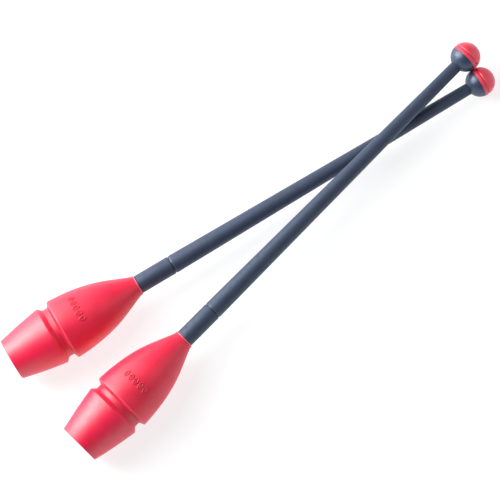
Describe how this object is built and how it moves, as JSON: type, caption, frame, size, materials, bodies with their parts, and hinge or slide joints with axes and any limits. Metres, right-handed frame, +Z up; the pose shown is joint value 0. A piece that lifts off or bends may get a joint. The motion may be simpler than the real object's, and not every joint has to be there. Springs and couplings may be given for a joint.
{
  "type": "rhythmic gymnastics clubs",
  "caption": "Crossed rhythmic gymnastics clubs: hollow rubber belly, grooved conical tail with a socket, tapered rubber grip with a ring joint, and a two-part ball head.",
  "frame": {"origin": "middle of the pair's outline on the table it lies on", "axes": "+Z up from the table, +X midway between the two clubs from tails to balls, +Y towards the lower club's tail"},
  "size_m": [0.4555, 0.1314, 0.0519],
  "materials": {
    "belly_rubber": "smooth semi-gloss moulded rubber, red",
    "cap_rubber": "fine matte moulded rubber, red",
    "grip_rubber": "dry matte grip rubber, navy",
    "ball_plastic": "satin moulded plastic, navy",
    "socket_plastic": "matte moulded plastic, dark grey",
    "core_plastic": "as moulded, dark grey",
    "screw_steel": "zinc-plated steel",
    "insert_brass": "plain turned brass"
  },
  "bodies": {
    "lower_club": {"club_b_body_shell": "belly_rubber", "club_b_tail_socket": "socket_plastic", "club_b_socket_screw": "screw_steel", "club_b_socket_washer": "screw_steel", "club_b_core_insert": "insert_brass", "club_b_core_tube": "core_plastic", "club_b_mouth_bush": "core_plastic", "club_b_neck_sleeve": "grip_rubber", "club_b_grip_sleeve": "grip_rubber", "club_b_tip_insert": "insert_brass", "club_b_ball_base": "ball_plastic", "club_b_ball_screw": "screw_steel", "club_b_ball_cap": "cap_rubber"},
    "upper_club": {"club_a_body_shell": "belly_rubber", "club_a_tail_socket": "socket_plastic", "club_a_socket_screw": "screw_steel", "club_a_socket_washer": "screw_steel", "club_a_core_insert": "insert_brass", "club_a_core_tube": "core_plastic", "club_a_mouth_bush": "core_plastic", "club_a_neck_sleeve": "grip_rubber", "club_a_grip_sleeve": "grip_rubber", "club_a_tip_insert": "insert_brass", "club_a_ball_base": "ball_plastic", "club_a_ball_screw": "screw_steel", "club_a_ball_cap": "cap_rubber"}
  },
  "joints": [
    {"name": "lift_upper_club", "type": "slide", "parent": "lower_club", "child": "upper_club", "axis": [0, 0, 1], "range_m": [0, 0.08]}
  ]
}
